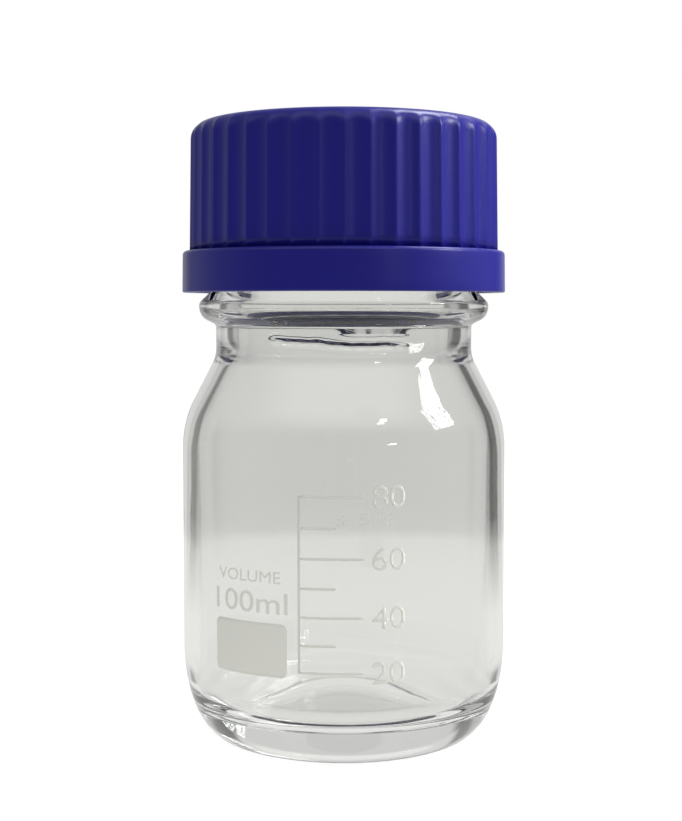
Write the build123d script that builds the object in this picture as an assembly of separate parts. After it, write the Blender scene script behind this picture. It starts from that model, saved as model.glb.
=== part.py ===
from build123d import *
from math import cos, degrees, radians, sin, tan
import os

os.makedirs("parts", exist_ok=True)

# A 100 ml screw-cap laboratory bottle.  Millimetres, +Z up, the origin on the
# axis in the plane the bottle stands on.  The printed volume line faces -Y.

# ---- glass, outside: heights below the lip are written as drops ----
glass_height = 100.0
body_radius = 28.0
foot_ring_radius = 20.3
heel_height = 15.9
neck_corner_drop = 33.9        # lip down to where the shoulder meets the neck
shoulder_outer_bend = 18.0
shoulder_lean = 27.3           # degrees the shoulder leans in from upright
shoulder_inner_bend = 6.0
punt_depth = 1.6
punt_radius = 16.5
foot_round = 1.2

# ---- glass, inside ----
wall = 2.6
floor_thickness = 6.0
floor_crown = 0.5
inner_heel_bend = 4.8
neck_wall = 3.55
throat_bend = 12.0             # inside, where the neck opens into the shoulder
mouth_bend = 5.0
mouth_drop = 7.6               # lip down to the foot of the straight mouth
mouth_taper_drop = 12.0

# ---- collar bead between neck and cap ----
bead_reach = 2.9               # how far the bead stands out from the neck
bead_foot_drop = 28.5
bead_low_drop = 27.1
bead_high_drop = 24.7
bead_slope_drop = 22.8
bead_slope_reach = 0.85
bead_land_drop = 20.6
bead_nose_round = 1.9
bead_hollow_round = 0.8

# ---- screw thread shared by glass and cap ----
thread_pitch = 4.0
thread_root_radius = 20.6
thread_depth = 1.55
thread_crest_width = 1.0
thread_flank_run = 0.75
thread_start_drop = 16.6
glass_thread_turns = 2.0
cap_thread_turns = 1.75
crest_clearance = 0.25
flank_clearance = 0.3
ridge_bite = 0.3               # how far a ridge is sunk into its wall

# ---- lip, its snap bead and the pouring ring ----
lip_step = 1.4                 # how far the lip stands in from the thread root
lip_wall = 2.0
lip_round = 0.9
lip_neck_drop = 4.1
lip_neck_slope = 1.0
snap_drop = 2.6
snap_height = 0.35
snap_half_width = 0.6
ring_slack = 0.05
ring_leg_wall = 0.85
ring_inner_wall = 1.1
ring_outer_leg = 3.6
ring_inner_leg = 6.4
ring_flange = 2.0
ring_drip_edge = 0.5
ring_edge_round = 0.4

# ---- cap and liner ----
cap_height = 29.0
cap_top_wall = 2.0
cap_top_round = 3.0
grip_wall = 4.2                # thread root out to the grip
grip_draft = 0.3
flute_count = 40
flute_depth = 0.55
flute_share = 0.92             # part of each pitch the hollow takes up
flute_turn = 1.4               # degrees the first hollow is turned by
skirt_height = 7.1
skirt_flare = 1.3              # how far the skirt stands out from the grip
skirt_wall = 1.8
skirt_round = 0.7
skirt_bore_height = 4.2
foot_edge_round = 0.3
liner_thickness = 2.0
liner_slack = 0.3
liner_edge_round = 0.3

# ---- fired enamel marks ----
enamel = 0.06
stroke = 0.4
small_stroke = 0.25
scale_lift = 0.6               # lowest mark above the top of the heel
scale_share = 0.817            # part of the straight wall the scale covers
scale_evenness = 0.92          # 1 would space the marks evenly
lowest_volume = 20
highest_volume = 80
long_tick = 10.4
short_tick = 5.9
numeral_height = 3.6
numeral_arc = 14.4             # arc from the upright line to the numerals
note_text = "± 5 %"
note_height = 2.0
note_arc = 10.6
note_volume = 72.8             # each caption sits level with this volume
caption_text = "VOLUME"
caption_height = 2.1
caption_arc = -9.3
caption_volume = 53.1
capacity_text = "100ml"
capacity_height = 3.5
capacity_arc = -9.1
capacity_volume = 44.2
panel_width = 14.2
panel_arc = -9.1
panel_low_volume = 17.5
panel_high_volume = 37.1
panel_corner = 1.0
letter_share = 0.68            # capital height of a letter in its font size
drawing_scale = 10             # lettering is drawn this much larger, then scaled down
shortest_edge = 0.02

# ---- radii that follow from the ones above ----
inner_radius = body_radius - wall
glass_crest_radius = thread_root_radius + thread_depth
cap_crest_radius = thread_root_radius + crest_clearance
cap_root_radius = glass_crest_radius + crest_clearance
neck_radius = glass_crest_radius
neck_bore = neck_radius - neck_wall
bead_radius = neck_radius + bead_reach
bead_slope_radius = neck_radius + bead_slope_reach
lip_radius = thread_root_radius - lip_step
mouth_radius = lip_radius - lip_wall
ring_leg_radius = lip_radius + ring_slack + ring_leg_wall
grip_radius = cap_root_radius + grip_wall
skirt_radius = grip_radius + skirt_flare

# ---- heights that follow from the ones above ----
lean = tan(radians(shoulder_lean))
half_turn = tan(radians(shoulder_lean / 2))
neck_corner_z = glass_height - neck_corner_drop
shoulder_climb = (body_radius - neck_radius) / lean
shoulder_slope = shoulder_climb / cos(radians(shoulder_lean))
bends_need = (shoulder_outer_bend + shoulder_inner_bend) * half_turn
bend_fit = min(1, 0.95 * shoulder_slope / bends_need)
outer_bend = shoulder_outer_bend * bend_fit
inner_bend = shoulder_inner_bend * bend_fit
shoulder_z = neck_corner_z - shoulder_climb
body_top_z = shoulder_z - outer_bend * half_turn
ring_top_z = glass_height + ring_flange
ceiling_z = ring_top_z + liner_thickness
cap_top_z = ceiling_z + cap_top_wall
cap_foot_z = cap_top_z - cap_height
skirt_top_z = cap_foot_z + skirt_height
thread_start_z = glass_height - thread_start_drop


def rounded_face(edges, roundings):
    """A face inside the outline, with the named corners rounded."""
    face = make_face(edges)
    for corner, radius in roundings:
        near = face.vertices().sort_by_distance((corner[0], corner[1], 0))
        face = fillet(near[0], radius)
    return face


def spun(face):
    """Turn a half outline, radius along X and height along Y, about Z."""
    return revolve(Plane.XZ * face, Axis.Z)


def glass_outside():
    shoulder = (body_radius, shoulder_z)
    neck = (neck_radius, neck_corner_z)
    bead_foot = (neck_radius, glass_height - bead_foot_drop)
    bead_low = (bead_radius, glass_height - bead_low_drop)
    bead_high = (bead_radius, glass_height - bead_high_drop)
    bead_slope = (bead_slope_radius, glass_height - bead_slope_drop)
    land = (thread_root_radius, glass_height - bead_land_drop)
    root_top = (thread_root_radius, glass_height - lip_neck_drop - lip_neck_slope)
    lip_foot = (lip_radius, glass_height - lip_neck_drop)
    snap_low = (lip_radius, glass_height - snap_drop - snap_half_width)
    snap = (lip_radius + snap_height, glass_height - snap_drop)
    snap_high = (lip_radius, glass_height - snap_drop + snap_half_width)
    lip = (lip_radius, glass_height)
    foot = (foot_ring_radius, 0)
    punt_edge = (punt_radius, 0)
    heel = EllipticalCenterArc((foot_ring_radius, heel_height), body_radius - foot_ring_radius,
                               heel_height, start_angle=-90, arc_size=90)
    side = Polyline((body_radius, heel_height), shoulder, neck, bead_foot, bead_low, bead_high,
                    bead_slope, land, root_top, lip_foot, snap_low, snap, snap_high, lip,
                    (0, glass_height), (0, punt_depth))
    punt = ThreePointArc((0, punt_depth), (punt_radius / 2, punt_depth * 3 / 4), punt_edge)
    face = rounded_face(punt + Line(punt_edge, foot) + heel + side, [
        (shoulder, outer_bend),
        (neck, inner_bend),
        (bead_foot, bead_hollow_round),
        (bead_low, bead_nose_round),
        (bead_high, bead_nose_round),
        (bead_slope, bead_hollow_round),
        (land, bead_hollow_round),
        (lip, lip_round),
        (punt_edge, foot_round),
    ])
    return spun(face)


def glass_inside():
    """The hollow the liquid stands in, open through the mouth."""
    side_step = wall / cos(radians(shoulder_lean))
    inner_shoulder_z = shoulder_z - (side_step - wall) / lean
    shoulder = (inner_radius, inner_shoulder_z)
    throat = (neck_bore, inner_shoulder_z + (inner_radius - neck_bore) / lean)
    taper = (neck_bore, glass_height - mouth_taper_drop)
    mouth = (mouth_radius, glass_height - mouth_drop)
    corner = (inner_radius, floor_thickness)
    crown_z = floor_thickness + floor_crown
    crown = ThreePointArc((0, crown_z), (inner_radius / 2, floor_thickness + floor_crown * 3 / 4), corner)
    above = glass_height + lip_round
    side = Polyline(corner, shoulder, throat, taper, mouth, (mouth_radius, above), (0, above), (0, crown_z))
    face = rounded_face(crown + side, [
        (corner, inner_heel_bend),
        (shoulder, outer_bend * inner_radius / body_radius),
        (throat, throat_bend * bend_fit),
        (taper, mouth_bend),
        (mouth, mouth_bend),
    ])
    return spun(face)


def thread_ridge(crest_radius, wall_radius, crest_width, base_width, start_z, turns):
    """One helical ridge whose foot is sunk a little into its wall."""
    outward = 1 if crest_radius > wall_radius else -1
    sunk_radius = wall_radius - outward * ridge_bite
    sunk_width = base_width + ridge_bite * (base_width - crest_width) / abs(crest_radius - wall_radius)
    corners = [
        (sunk_radius, 0, start_z - sunk_width / 2),
        (crest_radius, 0, start_z - crest_width / 2),
        (crest_radius, 0, start_z + crest_width / 2),
        (sunk_radius, 0, start_z + sunk_width / 2),
    ]
    path = Helix(thread_pitch, thread_pitch * turns, wall_radius, center=(0, 0, start_z))
    section = Face(Wire.make_polygon(corners, close=True))
    return Solid.sweep(section, path, is_frenet=True)


def glass_ridge_width(radius):
    """Height of the glass thread ridge where it reaches this radius."""
    return thread_crest_width + 2 * thread_flank_run * (glass_crest_radius - radius) / thread_depth


def cap_ridge_width(radius):
    """Height of the cap thread ridge, which fills the gap less its clearance."""
    return thread_pitch - glass_ridge_width(radius) - 2 * flank_clearance


def glass_bottle():
    ridge = thread_ridge(glass_crest_radius, thread_root_radius, thread_crest_width,
                         glass_ridge_width(thread_root_radius), thread_start_z, glass_thread_turns)
    return glass_outside() + ridge - glass_inside()


def pouring_ring():
    """A plastic collar that hooks over the lip and carries the drip edge."""
    bore = mouth_radius - ring_slack - ring_inner_wall
    inner_low = glass_height - ring_inner_leg
    outer_low = glass_height - ring_outer_leg
    inside_leg = mouth_radius - ring_slack
    outside_leg = lip_radius + ring_slack
    groove = outside_leg + snap_height
    groove_z = glass_height - snap_drop
    drip = ring_leg_radius + ring_drip_edge
    top = (drip, ring_top_z)
    bore_top = (bore, ring_top_z)
    outline = Polyline((bore, inner_low), (inside_leg, inner_low), (inside_leg, glass_height),
                       (outside_leg, glass_height), (outside_leg, groove_z + snap_half_width),
                       (groove, groove_z), (outside_leg, groove_z - snap_half_width),
                       (outside_leg, outer_low), (ring_leg_radius, outer_low),
                       (ring_leg_radius, glass_height), (drip, glass_height + ring_drip_edge),
                       top, bore_top, close=True)
    face = rounded_face(outline, [
        (top, ring_edge_round),
        (bore_top, ring_edge_round),
        ((bore, inner_low), ring_edge_round),
        ((ring_leg_radius, outer_low), ring_edge_round / 2),
    ])
    return spun(face)


def cap_blank():
    """The cap's outside before the grip hollows are cut."""
    top = (grip_radius - grip_draft, cap_top_z)
    ledge = (skirt_radius - skirt_round / 7, skirt_top_z)
    foot = (skirt_radius, cap_foot_z)
    outline = Polyline((0, cap_foot_z), foot, ledge, (grip_radius, skirt_top_z), top,
                       (0, cap_top_z), close=True)
    face = rounded_face(outline, [
        (foot, foot_edge_round),
        (ledge, skirt_round),
        (top, cap_top_round),
    ])
    return spun(face)


def cap_inside():
    """Bore, thread root and the clear space above the collar bead."""
    bore = skirt_radius - skirt_wall
    bore_top_z = cap_foot_z + skirt_bore_height
    root_foot_z = bore_top_z + (bore - cap_root_radius) / 2
    outline = Polyline((0, cap_foot_z), (bore, cap_foot_z), (bore, bore_top_z),
                       (cap_root_radius, root_foot_z), (cap_root_radius, ceiling_z),
                       (0, ceiling_z), close=True)
    return spun(make_face(outline))


def grip_hollows():
    """Shallow round-bottomed hollows that follow the grip's draft."""
    pitch_angle = 360 / flute_count
    half_width = grip_radius * sin(radians(pitch_angle * flute_share / 2))
    hollow_radius = (half_width ** 2 + flute_depth ** 2) / (2 * flute_depth)
    centre = grip_radius - flute_depth + hollow_radius
    rise = cap_top_z - skirt_top_z
    hollows = []
    for index in range(flute_count):
        angle = flute_turn + index * pitch_angle
        seat = Location((0, 0, skirt_top_z), (0, 0, angle - 90)) * Location((centre, 0, 0))
        inward = Vector(-grip_draft, 0, rise).rotate(Axis.Z, angle - 90)
        hollows.append(Solid.extrude((seat * Circle(hollow_radius)).face(), inward))
    return hollows


def screw_cap():
    ridge = thread_ridge(cap_crest_radius, cap_root_radius, cap_ridge_width(cap_crest_radius),
                         cap_ridge_width(cap_root_radius), thread_start_z + thread_pitch / 2,
                         cap_thread_turns)
    return cap_blank() - grip_hollows() - cap_inside() + ridge


def cap_liner():
    """The soft disc pressed between the cap's ceiling and the pouring ring."""
    radius = cap_root_radius - liner_slack
    disc = Pos(0, 0, ring_top_z + liner_thickness / 2) * Cylinder(radius, liner_thickness)
    return fillet(disc.edges().filter_by(GeomType.CIRCLE), liner_edge_round)


def enamel_shell():
    """A thin ring of enamel about the origin that every mark is cut from."""
    height = 2 * (panel_width + numeral_height)
    return Cylinder(body_radius + enamel, height) - Cylinder(body_radius, height)


def mark_z(volume):
    """Height of the mark for this many millilitres."""
    share = (volume - lowest_volume) / (highest_volume - lowest_volume)
    bent = scale_evenness * share + (1 - scale_evenness) * share ** 2
    return heel_height + scale_lift + scale_share * (body_top_z - heel_height) * bent


def on_wall(face, arc, height):
    """Wrap one flat shape onto the glass as a thin layer of enamel."""
    front = Plane((0, enamel * 10 - body_radius, 0), x_dir=(1, 0, 0), z_dir=(0, -1, 0))
    block = extrude(front * face, enamel * 40)
    layer = block & SHELL
    return Location((0, 0, height), (0, 0, degrees(arc / body_radius))) * layer


def plain_outline(wire):
    """The outline at its true size, as straight pieces between its corners."""
    points = []
    for edge in wire.order_edges():
        corner = edge.position_at(0) / drawing_scale
        if not points or (corner - points[-1]).length > shortest_edge:
            points.append(corner)
    if (points[0] - points[-1]).length < shortest_edge:
        points.pop()
    return Wire.make_polygon(points, close=True)


def wrapped_text(text, height, width, arc, volume):
    """Lettering wrapped letter by letter, centred on an arc and a volume."""
    size = (height - width) / letter_share * drawing_scale
    large = Text(text, font_size=size, font="singleline", single_line_width=width * drawing_scale)
    middle = large.bounding_box().center() / drawing_scale
    pieces = []
    for drawn in large.faces():
        holes = [plain_outline(wire) for wire in drawn.inner_wires()]
        letter = Face(plain_outline(drawn.outer_wire()), holes)
        across = letter.center().X
        centred = Pos(-across, -middle.Y) * letter
        pieces.extend(on_wall(centred, arc + across - middle.X, mark_z(volume)).solids())
    return Compound(pieces)


def upright_bar(arc_start, arc_end, low, high):
    """A patch of enamel between two arcs and two heights."""
    half = make_face(Polyline((body_radius, low), (body_radius + enamel, low),
                              (body_radius + enamel, high), (body_radius, high), close=True))
    span = degrees((arc_end - arc_start) / body_radius)
    start = degrees(arc_start / body_radius) - 90
    return Rot(0, 0, start) * revolve(Plane.XZ * half, Axis.Z, span)


def graduation_scale():
    half = stroke / 2
    scale = upright_bar(-half, half, mark_z(lowest_volume) - half, mark_z(highest_volume) + half)
    for volume in range(lowest_volume, highest_volume + 1, 10):
        reach = long_tick if volume % 20 == 0 else short_tick
        level = mark_z(volume)
        scale += upright_bar(0, reach, level - half, level + half)
    return scale


def scale_numerals():
    pieces = []
    for volume in range(lowest_volume, highest_volume + 1, 20):
        numeral = wrapped_text(str(volume), numeral_height, stroke, numeral_arc, volume)
        pieces.extend(numeral.solids())
    return Compound(pieces)


def writing_panel():
    low = mark_z(panel_low_volume)
    high = mark_z(panel_high_volume)
    chord = 2 * body_radius * sin(panel_width / body_radius / 2)
    return on_wall(RectangleRounded(chord, high - low, panel_corner), panel_arc, (low + high) / 2)


SHELL = enamel_shell()

pieces = {
    "glass_bottle": glass_bottle(),
    "pouring_ring": pouring_ring(),
    "screw_cap": screw_cap(),
    "cap_liner": cap_liner(),
    "graduation_scale": graduation_scale(),
    "scale_numerals": scale_numerals(),
    "capacity_mark": wrapped_text(capacity_text, capacity_height, stroke, capacity_arc, capacity_volume),
    "caption_mark": wrapped_text(caption_text, caption_height, small_stroke, caption_arc, caption_volume),
    "tolerance_mark": wrapped_text(note_text, note_height, small_stroke, note_arc, note_volume),
    "writing_panel": writing_panel(),
}

for name, piece in pieces.items():
    piece.label = name
    export_step(piece, "parts/" + name + ".step")
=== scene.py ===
# %% [markdown]
# # A screw-cap reagent bottle, built step by step in Blender
#
# The object is a small clear glass laboratory bottle with a deep blue ribbed
# cap. Every piece is made here by code: glass and plastic as lathe work with a
# radius that may change with the angle, and the printed marks as thin shapes
# wrapped round the glass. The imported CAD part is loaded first, because it holds
# the frame that every piece has to fit.

# %% Load the frame
import math
import bmesh
import bpy
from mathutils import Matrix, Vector


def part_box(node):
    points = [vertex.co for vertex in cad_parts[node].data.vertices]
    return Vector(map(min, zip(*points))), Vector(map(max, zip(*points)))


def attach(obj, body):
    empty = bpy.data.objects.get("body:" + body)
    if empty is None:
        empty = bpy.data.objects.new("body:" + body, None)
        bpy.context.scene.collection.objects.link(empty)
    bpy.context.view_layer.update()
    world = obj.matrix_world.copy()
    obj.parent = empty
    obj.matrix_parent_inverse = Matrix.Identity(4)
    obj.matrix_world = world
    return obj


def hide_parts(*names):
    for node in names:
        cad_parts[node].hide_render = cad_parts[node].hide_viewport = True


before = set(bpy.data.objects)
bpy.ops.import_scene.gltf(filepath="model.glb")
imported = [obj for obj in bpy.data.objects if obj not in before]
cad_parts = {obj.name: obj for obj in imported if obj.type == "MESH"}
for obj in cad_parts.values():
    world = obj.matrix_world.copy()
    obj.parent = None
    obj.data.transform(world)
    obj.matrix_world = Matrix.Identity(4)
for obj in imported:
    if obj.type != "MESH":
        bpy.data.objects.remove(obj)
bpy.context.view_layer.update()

# %% [markdown]
# Lengths below are written in millimetres, as on a drawing, and turned into
# Blender's metres in one place. The main sizes are measured from the CAD nodes,
# so the looks can't drift away from the part.

# %% Main sizes, measured from the frame
MM = 0.001


def height_range(node):
    low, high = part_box(node)
    return low[2] / MM, high[2] / MM


glass_low, glass_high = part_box("glass_bottle")
body_radius = (glass_high[0] - glass_low[0]) / 2 / MM
lip_z = glass_high[2] / MM
cap_foot_z, cap_top_z = height_range("screw_cap")
liner_z, ceiling_z = height_range("cap_liner")
ring_top_z = height_range("pouring_ring")[1]
print("body radius", round(body_radius, 2), "lip", round(lip_z, 2))
print("cap from", round(cap_foot_z, 2), "to", round(cap_top_z, 2))

# %% [markdown]
# ## Rounded outlines
#
# A lathe outline is easiest to think of as a few corners, each with a bend
# radius. This helper replaces every corner by an arc that touches both of its
# sides, the way a fillet does in CAD, and then adds points along the long
# straight runs so that the mesh has even rows. A small bend gets fewer points
# than a large one.

# %% Turn corners with bends into a smooth run of points
FEWEST_ARC_STEPS = 4
ARC_STEP_LENGTH = 0.12


def rounded(corners, arc_steps=8, longest=2.5):
    points = []
    last = len(corners) - 1
    for index, (radius, height, bend) in enumerate(corners):
        here = Vector((radius, height))
        if bend == 0 or index in (0, last):
            points.append(here)
            continue
        back = Vector(corners[index - 1][:2]) - here
        ahead = Vector(corners[index + 1][:2]) - here
        half = back.angle(ahead) / 2
        reach = bend / math.tan(half)
        inward = (back.normalized() + ahead.normalized()).normalized()
        centre = here + inward * bend / math.sin(half)
        first = here + back.normalized() * reach - centre
        turn = first.angle_signed(here + ahead.normalized() * reach - centre)
        wanted = round(abs(turn) * bend / ARC_STEP_LENGTH)
        steps = max(FEWEST_ARC_STEPS, min(arc_steps, wanted))
        for step in range(steps + 1):
            angle = -turn * step / steps
            c, s = math.cos(angle), math.sin(angle)
            points.append(centre + Vector((first.x * c - first.y * s, first.x * s + first.y * c)))
    return divided(points, longest)


def divided(points, longest):
    result = [points[0]]
    for point in points[1:]:
        gap = point - result[-1]
        if gap.length < 1e-5:
            continue
        parts = max(1, math.ceil(gap.length / longest))
        start = result[-1]
        result.extend(start + gap * part / parts for part in range(1, parts + 1))
    return result


# %% [markdown]
# Threads and small grooves need rows much closer than the rest of an outline.
# This helper adds them only where a test asks for them, which keeps the mesh
# light everywhere else.

# %% Close rows where they are needed
SAME_RADIUS = 1e-3


def with_close_rows(outline, wanted, spacing):
    result = []
    for point in outline:
        if result and wanted(result[-1]) and wanted(point):
            start = result[-1]
            rows = max(1, round((point - start).length / spacing))
            result += [start.lerp(point, row / rows) for row in range(1, rows)]
        result.append(point)
    return result


def at_radius(radius):
    return lambda point: abs(point.x - radius) < SAME_RADIUS


# %% [markdown]
# ## The lathe
#
# Every round piece is a stack of rings. A rule may give the radius for an angle
# and a height: that is how one lathe makes a plain shoulder, a helical thread
# and a fluted grip. An outline that starts or ends on the axis is closed with a
# single point there, so the mesh is watertight.

# %% Put a mesh into the scene
def finished(name, mesh, smooth=True):
    data = bpy.data.meshes.new(name)
    mesh.to_mesh(data)
    mesh.free()
    for face in data.polygons:
        face.use_smooth = smooth
    piece = bpy.data.objects.new(name, data)
    bpy.context.scene.collection.objects.link(piece)
    print(name, len(data.vertices), "vertices")
    return piece


# %% [markdown]
# Now the lathe itself. It places the rings and joins each one to the next.

# %% A lathe whose radius may depend on the angle
def lathe(name, outline, segments, rule=None, closed=False, first=0.0):
    mesh = bmesh.new()
    rings = []
    angles = [first + math.tau * step / segments for step in range(segments)]
    for radius, height in outline:
        if radius < 1e-6:
            rings.append([mesh.verts.new((0, 0, height * MM))])
            continue
        ring = []
        for angle in angles:
            r = (rule(angle, radius, height) if rule else radius) * MM
            ring.append(mesh.verts.new((r * math.cos(angle), r * math.sin(angle), height * MM)))
        rings.append(ring)
    pairs = list(zip(rings, rings[1:]))
    if closed:
        pairs.append((rings[-1], rings[0]))
    for lower, upper in pairs:
        for step in range(segments):
            after = (step + 1) % segments
            if len(lower) == 1:
                corners = (lower[0], upper[after], upper[step])
            elif len(upper) == 1:
                corners = (lower[step], lower[after], upper[0])
            else:
                corners = (lower[step], lower[after], upper[after], upper[step])
            mesh.faces.new(corners)
    bmesh.ops.recalc_face_normals(mesh, faces=mesh.faces)
    return finished(name, mesh)


# %% [markdown]
# ## A helical thread on a lathe
#
# Seen at one angle, a thread is a row of ridges one pitch apart, and the whole
# row climbs by one pitch in a full turn. So the ridge height at any point
# follows from how far its height is from the nearest turn of the helix. The two
# ends fade in and out, as they do on moulded threads.

# %% Height of a thread ridge at an angle and a height
PITCH = 4.0
FLANK_RUN = 0.75
THREAD_FADE = 0.1


def eased(value):
    value = min(1, max(0, value))
    return value * value * (3 - 2 * value)


def ridge_height(angle, height, start, turns, crest_width, depth):
    climbed = (height - start) / PITCH
    position = round(climbed - angle / math.tau) + angle / math.tau
    if position < 0 or position > turns:
        return 0
    off = abs(climbed - position) * PITCH
    flank = eased((crest_width / 2 + FLANK_RUN - off) / FLANK_RUN)
    return depth * flank * eased(position / THREAD_FADE) * eased((turns - position) / THREAD_FADE)


# %% [markdown]
# ## The glass
#
# One closed outline runs from the hollow under the foot, up the outside, over
# the lip and down the inside to the crowned floor. Glass needs both surfaces:
# light bends where it enters and again where it leaves, and the dark lines along
# the walls and the bright band at the neck come from that. The heel is a quarter
# ellipse, which is why it gets its own few lines.

# %% Foot and heel of the glass
foot_hollow, hollow_radius = 0.8, 16.5
foot_ring, heel_height = 20.3, 15.9

outside = [Vector((0, foot_hollow))]
for step in range(1, 12):
    share = step / 12
    outside.append(Vector((hollow_radius * share, foot_hollow * (1 - share ** 2))))
outside += [Vector((17.1, 0.14)), Vector((17.9, 0.0)), Vector((19.2, 0.0)), Vector((foot_ring, 0.02))]
for step in range(1, 33):
    turn = math.pi / 2 * step / 32
    across = foot_ring + (body_radius - foot_ring) * math.sin(turn)
    outside.append(Vector((across, heel_height * (1 - math.cos(turn)))))
print("foot and heel", len(outside), "points")

# %% [markdown]
# Above the heel the outline is a list of corners: radius, height and bend. The
# collar bead and the lip are what the cap and the pouring ring meet; the lip's
# heights are counted from the top.

# %% Body, shoulder, collar, lip and inside
thread_root, thread_crest = 20.6, 22.15
neck_radius, bead_radius, bore_radius = 22.15, 25.05, 18.6
mouth_radius, lip_radius, inner_radius = 17.2, 19.2, 25.4
floor_z = 6.0

upper_corners = [
    (body_radius, heel_height, 0),
    (body_radius, 54.77, 18.0),  # shoulder
    (neck_radius, 66.1, 6.0),
    (neck_radius, 71.5, 0.8),
    (bead_radius, 72.9, 2.6),  # collar bead
    (bead_radius, 75.3, 1.2),
    (23.0, 77.2, 0.8),
    (thread_root, 79.4, 0.8),
    (thread_root, lip_z - 5.1, 0.5),
    (lip_radius, lip_z - 4.1, 0.3),
    (lip_radius, lip_z - 3.2, 0.2),
    (19.52, lip_z - 2.6, 0.2),  # land that holds the pouring ring
    (lip_radius, lip_z - 2.0, 0.2),
    (lip_radius, lip_z, 0.9),
    (mouth_radius, lip_z, 0.9),
    (mouth_radius, lip_z - 7.6, 5.0),
    (bore_radius, lip_z - 12.0, 5.0),
    (bore_radius, 67.27, 12.0),
    (inner_radius, 54.14, 15.4),
    (inner_radius, floor_z, 4.8),
    (0, floor_z, 0),
]
outline = divided(outside, 1.5) + rounded(upper_corners, arc_steps=14, longest=1.6)[1:]
print("glass outline", len(outline), "points")

# %% [markdown]
# The inner floor is slightly crowned, as blown floors are. The points that lie
# on the flat floor are lifted by a smooth bump.

# %% Crown of the inner floor
crown_height, crown_edge = 1.2, 20.4

for point in outline:
    if floor_z - 0.1 < point.y < floor_z + 0.001 and point.x < crown_edge:
        point.y += crown_height * (1 - (point.x / crown_edge) ** 2) ** 2
print("floor centre at", round(outline[-1].y, 2))

# %% [markdown]
# Where the moulded neck meets the blown body, the inner wall keeps a few short
# grooves. Their upper flanks bend the view up into the dark cap, so each one
# shows as a thin dark streak under the collar. Angles are in degrees, counted
# from the front of the bottle towards the right.

# %% Grooves inside the neck
grooves = [
    # from, to, height at each end, depth
    (-26, 12, 69.0, 68.4, 0.52),
    (-2, 50, 68.2, 68.0, 0.62),
    (8, 52, 69.7, 69.5, 0.26),
    (110, 165, 68.9, 68.6, 0.20),
    (-150, -95, 68.7, 69.1, 0.20),
]
GROOVE_WIDTH = 0.56


def in_neck(radius, height):
    return radius < 19.8 and 66.6 < height < 71.2


def groove_depth(angle, height):
    front = math.degrees(angle + math.pi / 2 + math.pi) % 360 - 180
    wander = 0.07 * math.sin(0.22 * front) + 0.04 * math.sin(0.61 * front)
    total = 0
    for start, end, start_z, end_z, depth in grooves:
        share = (front - start) / (end - start)
        if not 0 < share < 1:
            continue
        middle = start_z + (end_z - start_z) * share + wander
        off = (height - middle) / GROOVE_WIDTH
        fade = eased(min(share, 1 - share) / 0.3) * (0.85 + 0.15 * math.sin(0.9 * front))
        total += depth * fade * math.exp(-off * off)
    return total


print("grooves", len(grooves))

# %% [markdown]
# Now the glass can be turned. Its rule adds the thread's ridge on the outside
# of the neck and the grooves on the inside, and leaves every other row round.

# %% Turn the glass
thread_start = lip_z - 16.6
GLASS_TURNS, GLASS_CREST = 2.0, 1.0


def glass_radius(angle, radius, height):
    if in_neck(radius, height):
        return radius + groove_depth(angle, height)
    if abs(radius - thread_root) > SAME_RADIUS:
        return radius
    depth = thread_crest - thread_root
    return radius + ridge_height(angle, height, thread_start, GLASS_TURNS, GLASS_CREST, depth)


outline = with_close_rows(outline, at_radius(thread_root), 0.22)
outline = with_close_rows(outline, lambda point: in_neck(point.x, point.y), 0.11)
glass = lathe("glass_body", outline, 224, glass_radius)
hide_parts("glass_bottle")
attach(glass, "bottle")

# %% [markdown]
# ## The cap
#
# The cap is one moulding. Its grip has forty shallow hollows with narrow rounded
# ridges between them. The hollows run up into the rounded top edge and fade away
# there, so their depth shrinks to nothing at the flat top. Below the ledge the
# skirt is plain.

# %% Depth of the hollows in the grip
FLUTES = 40
flute_depth, flute_share, ridge_softness = 0.55, 0.96, 0.14
first_flute = math.radians(-90 + 1.4)
top_round = 3.0


def soft_max(a, b, width):
    gap = max(width - abs(a - b), 0) / width
    return max(a, b) + gap * gap * width / 4


def hollow_depth(angle, height):
    pitch = math.tau / FLUTES
    across = ((angle - first_flute) / pitch + 0.5) % 1 - 0.5
    hollow = soft_max(1 - (2 * across / flute_share) ** 2, 0, ridge_softness)
    fading = eased((height - (cap_top_z - top_round)) / top_round)
    return flute_depth * min(hollow, 1) * (1 - fading)


print("hollows", FLUTES, "of depth", flute_depth)

# %% [markdown]
# The cap's outline goes over the top, down the grip to the ledge, round the
# skirt's foot and up the inside. Inside, the thread is a ridge that points
# inwards and sits half a pitch above the bottle's own.

# %% Outline and radius of the cap
skirt_top_z = cap_foot_z + 7.1
grip_low, grip_high = 26.6, 26.3
cap_root, skirt_radius, skirt_wall = 22.4, 27.9, 1.8
CAP_TURNS, CAP_CREST, CAP_DEPTH = 1.75, 1.142, 1.55

cap_corners = [
    (0, cap_top_z, 0),
    (grip_high + 0.02, cap_top_z, top_round),
    (grip_low + 0.05, skirt_top_z + 0.02, 0),
    (grip_low - 0.7, skirt_top_z, 0),
    (skirt_radius - 0.1, skirt_top_z, 0.7),
    (skirt_radius, cap_foot_z, 0.3),
    (skirt_radius - skirt_wall, cap_foot_z, 0.3),
    (skirt_radius - skirt_wall, cap_foot_z + 4.2, 0.5),
    (cap_root, cap_foot_z + 6.05, 0.4),
    (cap_root, ceiling_z, 0),
    (0, ceiling_z, 0),
]


def cap_radius(angle, radius, height):
    if skirt_top_z + 0.01 < height and radius > cap_root + 0.3:
        return radius - hollow_depth(angle, height)
    if abs(radius - cap_root) < SAME_RADIUS:
        start = thread_start + PITCH / 2
        return radius - ridge_height(angle, height, start, CAP_TURNS, CAP_CREST, CAP_DEPTH)
    return radius


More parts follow.
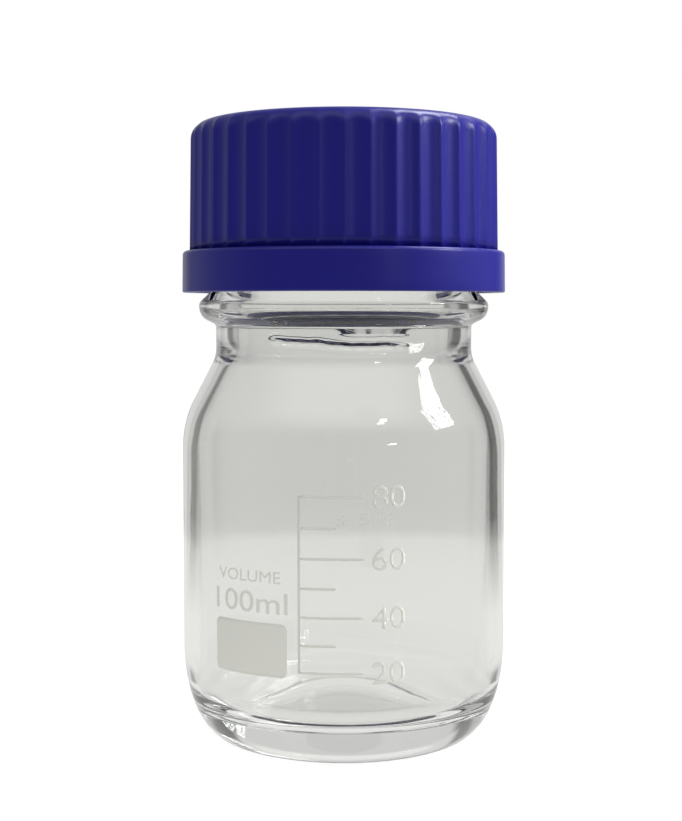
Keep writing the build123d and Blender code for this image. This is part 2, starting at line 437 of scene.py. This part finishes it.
# %% [markdown]
# The number of points round the cap is a multiple of the number of hollows, so
# that every hollow gets the same shape.

# %% Turn the cap
cap_outline = rounded(cap_corners, arc_steps=16, longest=1.8)
cap_outline = with_close_rows(cap_outline, at_radius(cap_root), 0.32)
cap = lathe("blue_cap", cap_outline, FLUTES * 14, cap_radius, first=first_flute)
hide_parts("screw_cap")
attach(cap, "cap")

# %% [markdown]
# ## Pouring ring and liner
#
# Both are hidden while the cap is on. The ring hooks over the lip and has a
# sharp drip edge. Its outline is a loop, so it starts and ends in the middle of
# its inner wall.

# %% Pouring ring
ring_bore, ring_leg, ring_fit = 16.05, 17.15, 19.25

ring_corners = [
    (ring_bore, lip_z - 3, 0),
    (ring_bore, lip_z - 6.4, 0.4),
    (ring_leg, lip_z - 6.4, 0.15),
    (ring_leg, lip_z, 0),
    (ring_fit, lip_z, 0),
    (ring_fit, lip_z - 2.0, 0),
    (19.6, lip_z - 2.6, 0),
    (ring_fit, lip_z - 3.2, 0),
    (ring_fit, lip_z - 3.6, 0.1),
    (20.1, lip_z - 3.6, 0.2),
    (20.1, lip_z, 0.3),
    (20.6, lip_z + 0.6, 0.25),
    (20.6, ring_top_z, 0.45),
    (ring_bore, ring_top_z, 0.6),
    (ring_bore, lip_z - 3, 0),
]
ring = lathe("pour_ring", rounded(ring_corners, 6, 1.2)[:-1], 160, closed=True)
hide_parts("pouring_ring")
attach(ring, "bottle")

# %% [markdown]
# The liner is a soft disc with the round dent that the ring's rim presses into
# it.

# %% Cap liner
liner_radius, dent = 22.1, 0.12

liner_outline = rounded([
    (0, ceiling_z, 0),
    (liner_radius, ceiling_z, 0.3),
    (liner_radius, liner_z, 0.3),
    (20.6, liner_z, 0.2),
    (20.3, liner_z + dent, 0.2),
    (16.4, liner_z + dent, 0.2),
    (16.1, liner_z, 0.2),
    (0, liner_z, 0),
], 6, 1.5)
liner = lathe("sealing_disc", liner_outline, 128)
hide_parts("cap_liner")
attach(liner, "liner")

# %% [markdown]
# ## Enamel marks
#
# The printing is white enamel fired onto the glass. Each mark starts flat, as a
# drawing of arc length against height, and every point is then wrapped onto the
# cylinder. The marks float a few thousandths of a millimetre clear of the glass,
# so that the two surfaces never share a plane.

# %% Wrap a flat drawing onto the glass
CLEAR, THICK = 0.004, 0.016


def wrapped(across, height, lifted):
    radius = (body_radius + CLEAR + (THICK if lifted else 0)) * MM
    angle = across / body_radius
    return Vector((radius * math.sin(angle), -radius * math.cos(angle), height * MM))


def wrapped_sheet(name, columns):
    """Columns are lists of (across, height) with the same number of points."""
    mesh = bmesh.new()
    top = [[mesh.verts.new(wrapped(*p, True)) for p in column] for column in columns]
    low = [[mesh.verts.new(wrapped(*p, False)) for p in column] for column in columns]
    wide, tall = len(columns), len(columns[0])
    for i in range(wide - 1):
        for j in range(tall - 1):
            mesh.faces.new((top[i][j], top[i + 1][j], top[i + 1][j + 1], top[i][j + 1]))
            mesh.faces.new((low[i][j], low[i][j + 1], low[i + 1][j + 1], low[i + 1][j]))
    rim = [(i, 0) for i in range(wide)] + [(wide - 1, j) for j in range(1, tall)]
    rim += [(i, tall - 1) for i in range(wide - 2, -1, -1)] + [(0, j) for j in range(tall - 2, 0, -1)]
    for (i, j), (k, m) in zip(rim, rim[1:] + rim[:1]):
        mesh.faces.new((top[i][j], low[i][j], low[k][m], top[k][m]))
    bmesh.ops.recalc_face_normals(mesh, faces=mesh.faces)
    return finished(name, mesh)


# %% [markdown]
# The scale reads from 20 to 80, and its marks sit a little further apart towards
# the top. One rule gives the height of a mark. A bar is the shape that every
# line of the scale is printed as, with slightly softened ends.

# %% Height of a mark, and one printed bar
scale_foot, scale_run = 16.5, 28.18


def mark_z(volume):
    share = (volume - 20) / 60
    return scale_foot + scale_run * (0.92 * share + 0.08 * share ** 2)


def bar(name, left, right, low, high):
    steps = max(1, round((right - left) / 0.5))
    inset = min(0.08, (right - left) / 4, (high - low) / 4)
    columns = []
    for step in range(steps + 1):
        across = left + (right - left) * step / steps
        cut = inset if step in (0, steps) else 0
        columns.append([(across, low + cut), (across, (low + high) / 2), (across, high - cut)])
    return wrapped_sheet(name, columns)


def joined(name, pieces):
    """Several meshes become one piece."""
    mesh = bmesh.new()
    for piece in pieces:
        mesh.from_mesh(piece.data)
        data = piece.data
        bpy.data.objects.remove(piece)
        bpy.data.meshes.remove(data)
    return finished(name, mesh)


# %% [markdown]
# One upright line joins the seven level marks, long ones at the numerals and
# short ones between.

# %% The scale
half_line = 0.21
long_tick, short_tick = 10.4, 5.9

bars = [bar("upright", -half_line, half_line, mark_z(20) - half_line, mark_z(80) + half_line)]
for volume in range(20, 90, 10):
    length = long_tick if volume % 20 == 0 else short_tick
    level = mark_z(volume)
    bars.append(bar("tick", half_line + 0.004, length, level - half_line, level + half_line))
scale_marks = joined("scale_marks", bars)
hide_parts("graduation_scale")

# %% [markdown]
# The writing panel is a filled rectangle with rounded corners. Its columns are
# shortened near both ends by the corner's arc, which keeps the grid simple.

# %% Writing panel
panel_left, panel_right, corner = -16.2, -2.0, 1.1
panel_low, panel_high = mark_z(17.5), mark_z(37.1)
panel_wide = panel_right - panel_left

stops = [corner * (1 - math.cos(math.pi / 2 * step / 8)) for step in range(9)]
stops += [corner + (panel_wide - 2 * corner) * step / 24 for step in range(1, 24)]
stops += [panel_wide - stop for stop in reversed(stops[:9])]
columns = []
for stop in stops:
    from_corner = max(0, corner - min(stop, panel_wide - stop))
    cut = corner - math.sqrt(max(0, corner ** 2 - from_corner ** 2))
    low, high = panel_low + cut, panel_high - cut
    columns.append([(panel_left + stop, low + (high - low) * step / 12) for step in range(13)])
panel = wrapped_sheet("panel", columns)
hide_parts("writing_panel")

# %% [markdown]
# Lettering begins as a text object in Blender's own font. It is turned into a
# mesh, measured, stretched to the wanted height and width, cut into narrow
# strips so that it can bend, and wrapped like the rest. Only plain numbers, a
# plain word and a plain tolerance are used.

# %% Lettering wrapped onto the glass
STRIP = 0.4


def flat_letters(name, text, bold):
    curve = bpy.data.curves.new(name, "FONT")
    curve.body = text
    curve.resolution_u = 6
    curve.extrude = 0.1
    curve.offset = bold
    holder = bpy.data.objects.new(name, curve)
    bpy.context.scene.collection.objects.link(holder)
    flat = bpy.data.meshes.new_from_object(holder.evaluated_get(bpy.context.evaluated_depsgraph_get()))
    bpy.data.objects.remove(holder)
    bpy.data.curves.remove(curve)
    return flat


def lettering(name, text, left, right, middle_z, tall, bold=0.0):
    flat = flat_letters(name, text, bold)
    xs = [v.co.x for v in flat.vertices]
    ys = [v.co.y for v in flat.vertices]
    wide, high = max(xs) - min(xs), max(ys) - min(ys)
    for vertex in flat.vertices:
        vertex.co.x = left + (vertex.co.x - min(xs)) / wide * (right - left)
        vertex.co.y = middle_z + ((vertex.co.y - min(ys)) / high - 0.5) * tall
    mesh = bmesh.new()
    mesh.from_mesh(flat)
    bpy.data.meshes.remove(flat)
    for cut in range(math.ceil(left / STRIP), math.ceil(right / STRIP)):
        everything = mesh.verts[:] + mesh.edges[:] + mesh.faces[:]
        bmesh.ops.bisect_plane(
            mesh, geom=everything, dist=0.01, plane_co=(cut * STRIP, 0, 0), plane_no=(1, 0, 0))
    for vertex in mesh.verts:
        vertex.co = wrapped(vertex.co.x, vertex.co.y, vertex.co.z > 0)
    bmesh.ops.remove_doubles(mesh, verts=mesh.verts, dist=1e-7)
    bmesh.ops.recalc_face_normals(mesh, faces=mesh.faces)
    return finished(name, mesh, smooth=False)


# %% [markdown]
# The numerals stand beside the long marks, and the words above the panel. All
# the marks share one finish and belong to the bottle.

# %% Numerals and words
numerals = joined("numerals", [
    lettering("numeral", str(volume), 11.7, 17.1, mark_z(volume), 3.6)
    for volume in range(20, 90, 20)
])
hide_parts("scale_numerals")
capacity = lettering("capacity", "100ml", panel_left, -1.9, mark_z(44.2), 3.5, 0.004)
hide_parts("capacity_mark")
caption = lettering("caption", "VOLUME", -15.5, -3.1, mark_z(53.1), 1.9)
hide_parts("caption_mark")
note = lettering("note", "± 5 %", 6.0, 15.2, mark_z(72.8), 1.9)
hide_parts("tolerance_mark")

enamel_marks = (scale_marks, panel, numerals, capacity, caption, note)
for mark in enamel_marks:
    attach(mark, "bottle")

# %% [markdown]
# ## Materials
#
# Each finish is one Principled shader. Values that are the same all over sit
# directly on the shader's inputs; only the faint unevenness of the surfaces is
# driven by noise.

# %% Helpers for materials
def material(name, **values):
    mat = bpy.data.materials.new(name)
    mat.use_nodes = True
    shader = mat.node_tree.nodes["Principled BSDF"]
    for key, value in values.items():
        shader.inputs[key.replace("_", " ")].default_value = value
    return mat, mat.node_tree, shader


def add(tree, kind, **inputs):
    node = tree.nodes.new(kind)
    for key, value in inputs.items():
        node.inputs[key.replace("_", " ")].default_value = value
    return node


def bumped(tree, shader, scale, strength, distance, stretch=(1, 1, 1)):
    """A faint waviness taken from noise in the object's own coordinates."""
    coordinates = tree.nodes.new("ShaderNodeTexCoord")
    mapping = add(tree, "ShaderNodeMapping", Scale=stretch)
    noise = add(tree, "ShaderNodeTexNoise", Scale=scale, Detail=3.0)
    bump = add(tree, "ShaderNodeBump", Strength=strength, Distance=distance)
    tree.links.new(coordinates.outputs["Object"], mapping.inputs["Vector"])
    tree.links.new(mapping.outputs["Vector"], noise.inputs["Vector"])
    tree.links.new(noise.outputs["Fac"], bump.inputs["Height"])
    tree.links.new(bump.outputs["Normal"], shader.inputs["Normal"])
    return noise


# %% [markdown]
# A colour ramp and a range of numbers are both needed several times below, so
# each gets a short helper too.

# %% Helpers for ramps and ranges
def ramp(tree, value, stops):
    """Stops are (position, colour) pairs from left to right."""
    node = tree.nodes.new("ShaderNodeValToRGB")
    elements = node.color_ramp.elements
    for position, colour in stops[1:-1]:
        elements.new(position).color = colour
    for element, (position, colour) in ((elements[0], stops[0]), (elements[-1], stops[-1])):
        element.position = position
        element.color = colour
    tree.links.new(value, node.inputs["Fac"])
    return node.outputs["Color"]


def ranged(tree, value, from_min, from_max, to_min=0.0, to_max=1.0):
    node = add(
        tree, "ShaderNodeMapRange", From_Min=from_min, From_Max=from_max, To_Min=to_min, To_Max=to_max)
    tree.links.new(value, node.inputs["Value"])
    return node.outputs["Result"]


# %% [markdown]
# Glass: fully transmissive, smooth, with the refractive index of borosilicate
# glass and a trace of grey-green. Blown glass is never perfectly even, so a very
# weak, slow bump bends the reflections a little.

# %% Clear glass
glass_mat, tree, shader = material(
    "clear_glass", Base_Color=(0.945, 0.95, 0.933, 1), Roughness=0.0, IOR=1.474, Transmission_Weight=1.0)
bumped(tree, shader, 60, 0.10, 0.0006, (1, 1, 0.6))
glass.data.materials.append(glass_mat)
print("glass", tuple(round(v, 3) for v in shader.inputs["Base Color"].default_value))

# %% [markdown]
# Cap plastic: deep blue polypropylene. The colour barely varies, the surface is
# smooth with a soft sheen, and a fine grain breaks up the highlights.

# %% Blue plastic
def blue_plastic(name, colour, roughness):
    mat, tree, shader = material(
        name, Base_Color=colour, Roughness=roughness, IOR=1.49, Specular_IOR_Level=0.35)
    noise = bumped(tree, shader, 900, 0.05, 0.0001)
    uneven = ranged(tree, noise.outputs["Fac"], 0.0, 1.0, roughness - 0.03, roughness + 0.05)
    tree.links.new(uneven, shader.inputs["Roughness"])
    print(name, "roughness about", roughness)
    return mat


cap.data.materials.append(blue_plastic("blue_cap", (0.012, 0.011, 0.235, 1), 0.31))
ring.data.materials.append(blue_plastic("blue_ring", (0.013, 0.012, 0.22, 1), 0.36))

# %% [markdown]
# The liner is a dark blue soft disc, and the enamel a chalky white with a
# slightly uneven tone, as thin fired colour has.

# %% Liner and enamel
liner_mat, tree, shader = material("soft_liner", Base_Color=(0.02, 0.02, 0.10, 1), Roughness=0.55)
bumped(tree, shader, 1400, 0.15, 0.0001)
liner.data.materials.append(liner_mat)

enamel_mat, tree, shader = material("fired_enamel", Base_Color=(0.88, 0.88, 0.82, 1), Roughness=0.6)
noise = bumped(tree, shader, 2500, 0.2, 0.00004)
tone = ramp(tree, noise.outputs["Fac"], [(0.0, (0.86, 0.86, 0.80, 1)), (1.0, (0.90, 0.90, 0.84, 1))])
tree.links.new(tone, shader.inputs["Base Color"])
for mark in enamel_marks:
    mark.data.materials.append(enamel_mat)
print("enamel on", len(enamel_marks), "marks")

# %% [markdown]
# ## The studio
#
# An evenly white room makes clear glass vanish. In a studio, grey and black
# cards are stood round a bottle, just out of view, and the glass draws them as
# lines along its walls. Here the cards are a colour ramp that runs round the
# compass. Zero degrees is straight behind the bottle, minus is left and plus is
# right. The two dark cards behind it make the dark lines of the walls.

# %% Brightness of the studio by compass direction
camera_azimuth = 14.7
cards = (
    (-180, 0.26), (-126, 0.30), (-90, 0.50), (-50, 0.70), (-44, 0.25), (-37, 0.25), (-33, 1.0),
    (30, 1.0), (34, 0.14), (47, 0.14), (55, 0.60), (90, 0.70), (126, 0.44), (180, 0.26),
)


def grey(value, warm=1.0):
    return (value, value, value * warm, 1)


def around(tree, direction):
    turned = add(tree, "ShaderNodeVectorRotate", Angle=-math.radians(camera_azimuth))
    turned.rotation_type = "Z_AXIS"
    split = tree.nodes.new("ShaderNodeSeparateXYZ")
    bearing = tree.nodes.new("ShaderNodeMath")
    bearing.operation = "ARCTAN2"
    tree.links.new(direction, turned.inputs["Vector"])
    tree.links.new(turned.outputs["Vector"], split.inputs[0])
    tree.links.new(split.outputs["X"], bearing.inputs[0])
    tree.links.new(split.outputs["Y"], bearing.inputs[1])
    share = ranged(tree, bearing.outputs[0], -math.pi, math.pi)
    return ramp(tree, share, [(degrees / 360 + 0.5, grey(value)) for degrees, value in cards])


print("cards", len(cards))

# %% [markdown]
# Two more helpers: one mixes two colours, and one gives a surface or a sky a
# plain look where it is seen directly and another look in reflections and
# through the glass.

# %% Helpers for the studio
def mixed(tree, factor, first, second, how="MIX"):
    node = tree.nodes.new("ShaderNodeMix")
    node.data_type = "RGBA"
    node.blend_type = how
    tree.links.new(factor, node.inputs["Factor"])
    tree.links.new(first, node.inputs["A"])
    tree.links.new(second, node.inputs["B"])
    return node.outputs["Result"]


def plain_when_seen(tree, other, plain, surface):
    path = tree.nodes.new("ShaderNodeLightPath")
    choose = tree.nodes.new("ShaderNodeMixShader")
    tree.links.new(path.outputs["Is Camera Ray"], choose.inputs[0])
    tree.links.new(other.outputs[0], choose.inputs[1])
    tree.links.new(plain.outputs[0], choose.inputs[2])
    tree.links.new(choose.outputs[0], surface)


# %% [markdown]
# The floor is a large white disc. What the glass sees of it is not lit by the
# lamps but a painted glow: a light grey, brightest near the bottle like a painted
# pool of light, and from some way out it carries the same cards as the room, so
# that no seam shows where the two meet.

# %% Floor
CARDS_FROM, CARDS_FULL = 0.12, 0.30

floor_mesh = bmesh.new()
bmesh.ops.create_circle(floor_mesh, cap_ends=True, segments=96, radius=6.0)
floor = finished("floor", floor_mesh)
floor.location.z = -0.00005
floor_mat, tree, shader = material(
    "floor", Base_Color=(0.12, 0.12, 0.12, 1), Roughness=0.9, Specular_IOR_Level=0.0,
    Emission_Color=(1, 1, 1, 1), Emission_Strength=0.955)
place = tree.nodes.new("ShaderNodeTexCoord").outputs["Object"]
length = tree.nodes.new("ShaderNodeVectorMath")
length.operation = "LENGTH"
tree.links.new(place, length.inputs[0])
away = length.outputs["Value"]
# Painted pool of light: the glow the glass sees is brighter within a quarter metre of the bottle.
near_far = ramp(tree, away, [(0.225, grey(0.83, 0.985)), (0.25, grey(0.695, 0.985))])
shown = mixed(tree, ranged(tree, away, CARDS_FROM, CARDS_FULL), near_far, around(tree, place), "MULTIPLY")
# The floor's painted glow, seen only in reflections and through the glass.
floor_glow = add(tree, "ShaderNodeEmission", Strength=1.0)
tree.links.new(shown, floor_glow.inputs["Color"])
plain_when_seen(tree, floor_glow, shader, tree.nodes["Material Output"].inputs["Surface"])
floor.data.materials.append(floor_mat)

# %% [markdown]
# The room is light grey at the level of the bottle and darker overhead. The
# cards stand only as high as the lower part of it. High up, the side behind the
# camera is brighter than the side behind the bottle, as if a large soft lamp
# hung there.

# %% Room
world = bpy.data.worlds.new("studio")
world.use_nodes = True
bpy.context.scene.world = world
tree = world.node_tree
tree.nodes.clear()
output = tree.nodes.new("ShaderNodeOutputWorld")
direction = tree.nodes.new("ShaderNodeTexCoord").outputs["Generated"]
separate = tree.nodes.new("ShaderNodeSeparateXYZ")
tree.links.new(direction, separate.inputs[0])
rise = separate.outputs["Z"]
camera_side = math.radians(camera_azimuth)
facing = tree.nodes.new("ShaderNodeVectorMath")
facing.operation = "DOT_PRODUCT"
facing.inputs[1].default_value = (math.sin(camera_side), -math.cos(camera_side), 0)
tree.links.new(direction, facing.inputs[0])

upward = ramp(tree, rise, [(0.0, (0.69, 0.69, 0.68, 1)), (0.9, (0.42, 0.42, 0.43, 1))])
low_part = ranged(tree, rise, 0.60, 0.30)
with_cards = mixed(tree, low_part, upward, around(tree, direction), "MULTIPLY")
ceiling = ranged(tree, facing.outputs["Value"], -0.1, 0.5, 0.30, 1.4)
everything = mixed(tree, ranged(tree, rise, 0.48, 0.72), with_cards, ceiling)
room = add(tree, "ShaderNodeBackground", Strength=1.0)
tree.links.new(everything, room.inputs["Color"])
backdrop = add(tree, "ShaderNodeBackground", Color=(1, 1, 1, 1), Strength=1.0)
plain_when_seen(tree, room, backdrop, output.inputs["Surface"])
print("room nodes", len(tree.nodes))

# %% [markdown]
# Five area lights. The tall window on the right is seen only in reflections, and
# with two small panes it draws the bright patches on the shoulder. The soft light
# at the side shapes the blue cap, and the one above catches its top edge.

# %% Lights
LIGHT_CENTRE = Vector((0, 0, 0.055))


def area_light(name, azimuth, elevation, distance, wide, tall, power):
    """Azimuth counts from the camera's side, positive towards the right."""
    turn = math.radians(camera_azimuth + azimuth)
    rise = math.radians(elevation)
    away = Vector((math.sin(turn) * math.cos(rise), -math.cos(turn) * math.cos(rise), math.sin(rise)))
    light = bpy.data.lights.new(name, "AREA")
    light.shape = "RECTANGLE"
    light.size, light.size_y = wide, tall
    light.energy = power
    holder = bpy.data.objects.new(name, light)
    bpy.context.scene.collection.objects.link(holder)
    holder.location = LIGHT_CENTRE + away * distance
    holder.rotation_mode = "QUATERNION"
    holder.rotation_quaternion = (-away).to_track_quat("-Z", "Y")
    holder.visible_camera = False
    print(name, power, "W")
    return holder


window = area_light("window_right", 81, 29, 0.75, 0.17, 0.27, 5.0)
window.visible_diffuse = False
area_light("pane_high", 31, 34, 0.80, 0.07, 0.045, 0.14)
area_light("pane_low", 34, 10, 0.80, 0.07, 0.02, 0.08)
side = area_light("side", 101, 24, 0.75, 0.20, 0.27, 5.6)
side.visible_glossy = side.visible_transmission = False
area_light("above", 125, 58, 0.9, 0.35, 0.35, 5.0)

# %% [markdown]
# Leaves outside break the window's light up, which shows in the glass as a
# ragged bright patch. A little noise across the lamp does the same.

# %% Leaves in front of the window
window.data.use_nodes = True
tree = window.data.node_tree
across_window = tree.nodes.new("ShaderNodeNewGeometry")
leaves = add(tree, "ShaderNodeTexNoise", Scale=6.5, Detail=4.0)
tree.links.new(across_window.outputs["Parametric"], leaves.inputs["Vector"])
gaps = ranged(tree, leaves.outputs["Fac"], 0.42, 0.58, 0.06, 1.0)
tree.links.new(gaps, tree.nodes["Emission"].inputs["Strength"])
print("window nodes", len(tree.nodes))

# %% [markdown]
# The camera stands close, a quarter of a metre away and at two thirds of the
# bottle's height, tilted slightly down. Being this close matters: it is why the
# cap's lower edge and the foot curve the way they do.

# %% Camera
distance, eye_height, tilt = 0.267, 0.0743, math.radians(3.82)
turn = math.radians(camera_azimuth)
camera = bpy.data.objects.new("camera", bpy.data.cameras.new("camera"))
bpy.context.scene.collection.objects.link(camera)
camera.data.sensor_width = 36.0
camera.data.lens = 67.13
camera.data.shift_x = -0.0033
camera.data.clip_start = 0.01
camera.location = (distance * math.sin(turn), -distance * math.cos(turn), eye_height)
camera.rotation_euler = (math.pi / 2 - tilt, 0, turn)
bpy.context.scene.camera = camera
bpy.context.scene.view_settings.view_transform = "Standard"
print("camera at", tuple(round(value, 4) for value in camera.location))

# %% [markdown]
# Thick clear glass passes light to and fro inside its walls many times before
# it gets out. With the usual limit on bounces the heel would turn black, so the
# limit is raised.

# %% Light paths through glass
paths = bpy.context.scene.cycles
paths.max_bounces = paths.transmission_bounces = paths.glossy_bounces = 32
print("light bounces", paths.max_bounces)
